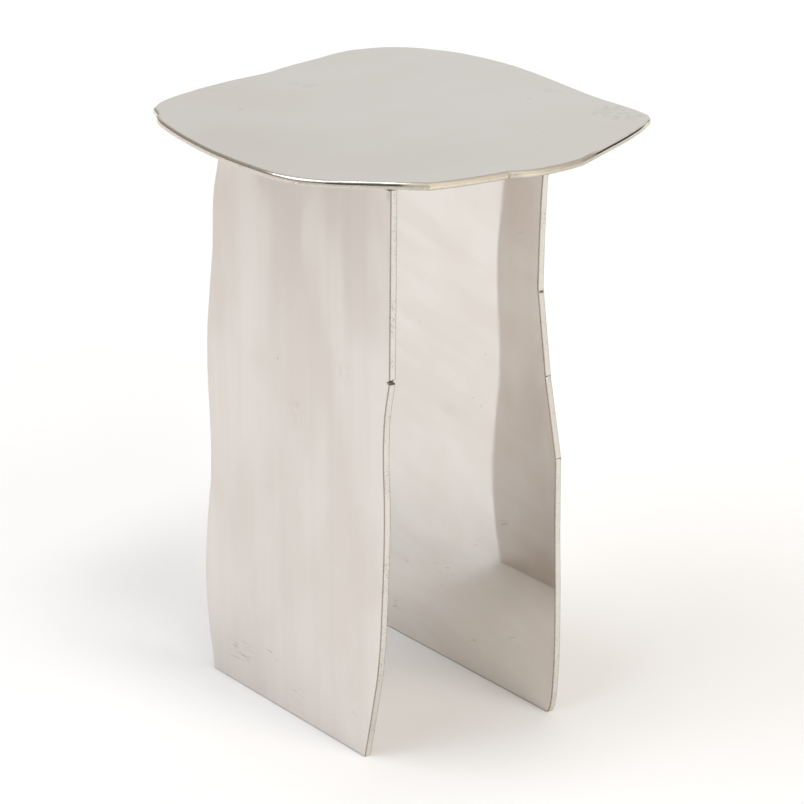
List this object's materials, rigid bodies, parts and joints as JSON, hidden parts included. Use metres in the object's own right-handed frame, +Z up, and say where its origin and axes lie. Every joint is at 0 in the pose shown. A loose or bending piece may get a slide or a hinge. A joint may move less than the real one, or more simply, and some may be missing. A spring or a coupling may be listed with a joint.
{
  "type": "side table",
  "caption": "Small side table of polished metal plate: a free-form flat top with hand-cut edges, welded onto upright plate legs that stand parallel with an open space between them.",
  "frame": {"origin": "on the floor under the middle of the top's outline", "axes": "+Z up through the top; -Y is the front, where the legs' bitten edges face; +X runs from the left leg to the right leg"},
  "size_m": [0.336, 0.3611, 0.4553],
  "materials": {
    "top_polish": "polished, lightly handled",
    "leg_polish": "polished, with a soft upright grain",
    "weld_metal": "satin fillet bead"
  },
  "bodies": {
    "root": {"top_plate": "top_polish", "left_leg_plate": "leg_polish", "right_leg_plate": "leg_polish", "left_leg_outer_weld": "weld_metal", "left_leg_inner_weld": "weld_metal", "right_leg_inner_weld": "weld_metal", "right_leg_outer_weld": "weld_metal"}
  },
  "joints": []
}
